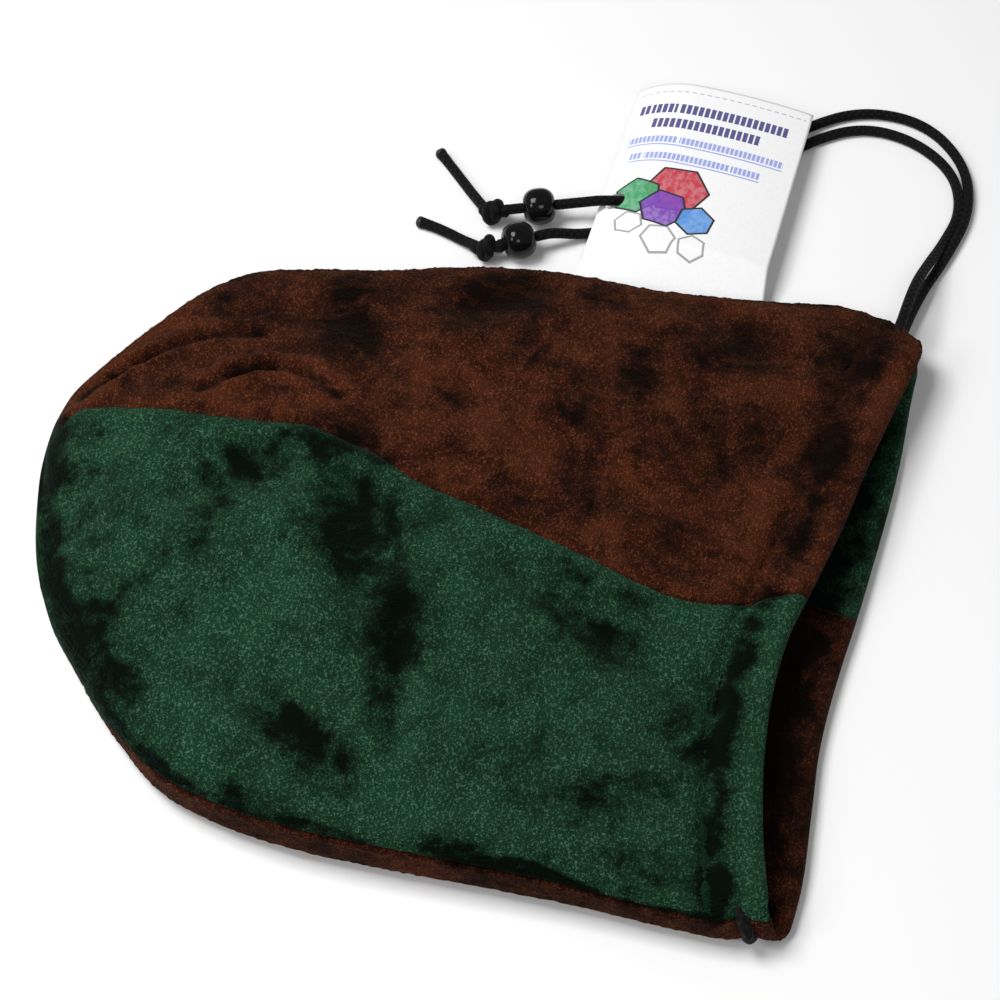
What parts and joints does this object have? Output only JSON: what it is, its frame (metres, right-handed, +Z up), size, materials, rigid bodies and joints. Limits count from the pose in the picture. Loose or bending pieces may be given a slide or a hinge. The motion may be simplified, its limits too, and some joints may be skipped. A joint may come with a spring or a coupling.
{
  "type": "drawstring dice bag",
  "caption": "Flat four-panel velvet drawstring pouch with a rounded bottom, a cord in a turned-in casing, sliding cord beads, knots and a punched hang tag.",
  "frame": {"origin": "on the surface the bag lies on, under the middle of the bag", "axes": "+X along the bag towards its mouth, +Y towards the side fold that the cord leaves, +Z up"},
  "size_m": [0.2216, 0.2693, 0.025],
  "materials": {
    "brown_velvet": "crushed stretch velvet, dark chocolate brown",
    "green_velvet": "crushed stretch velvet, bottle green",
    "sewing_thread": "fine dark sewing thread",
    "black_cord": "fine braided satin cord, black",
    "sealed_tip": "melted cord end",
    "black_bead": "polished black",
    "tag_card": "white printed card, matt"
  },
  "bodies": {
    "bag": {"front_brown_panel": "brown_velvet", "front_green_panel": "green_velvet", "back_brown_panel": "brown_velvet", "back_green_panel": "green_velvet", "front_brown_hem": "brown_velvet", "front_green_hem": "green_velvet", "back_brown_hem": "brown_velvet", "back_green_hem": "green_velvet", "front_casing_stitching": "sewing_thread", "back_casing_stitching": "sewing_thread", "front_seam_thread": "sewing_thread", "back_seam_thread": "sewing_thread", "far_side_seam_thread": "sewing_thread", "near_side_seam_thread": "sewing_thread"},
    "drawstring": {"drawstring_in_casing": "black_cord", "cord_upper": "black_cord", "cord_lower": "black_cord", "knot_upper": "black_cord", "knot_lower": "black_cord", "tail_upper": "black_cord", "tail_lower": "black_cord", "tip_upper": "sealed_tip", "tip_lower": "sealed_tip"},
    "upper_bead": {"bead_upper": "black_bead"},
    "lower_bead": {"bead_lower": "black_bead"},
    "tag": {"hang_tag": "tag_card"}
  },
  "joints": [
    {"name": "drawstring_pull", "type": "slide", "parent": "bag", "child": "drawstring", "axis": [0.0872, 0.9962, 0], "range_m": [0, 0.13], "deforming": ["front_brown_hem", "front_green_hem", "back_brown_hem", "back_green_hem"]},
    {"name": "upper_bead_slide", "type": "slide", "parent": "drawstring", "child": "upper_bead", "axis": [0.9666, 0.241, 0.0872], "range_m": [-0.0035, 0.009]},
    {"name": "lower_bead_slide", "type": "slide", "parent": "drawstring", "child": "lower_bead", "axis": [0.8829, 0.4695, 0], "range_m": [0, 0.004]},
    {"name": "tag_swivel", "type": "hinge", "parent": "drawstring", "child": "tag", "pos_m": [0.01941, 0.12297, 0.0071], "axis": [0, 0, 1], "range_deg": [0, 40]}
  ]
}
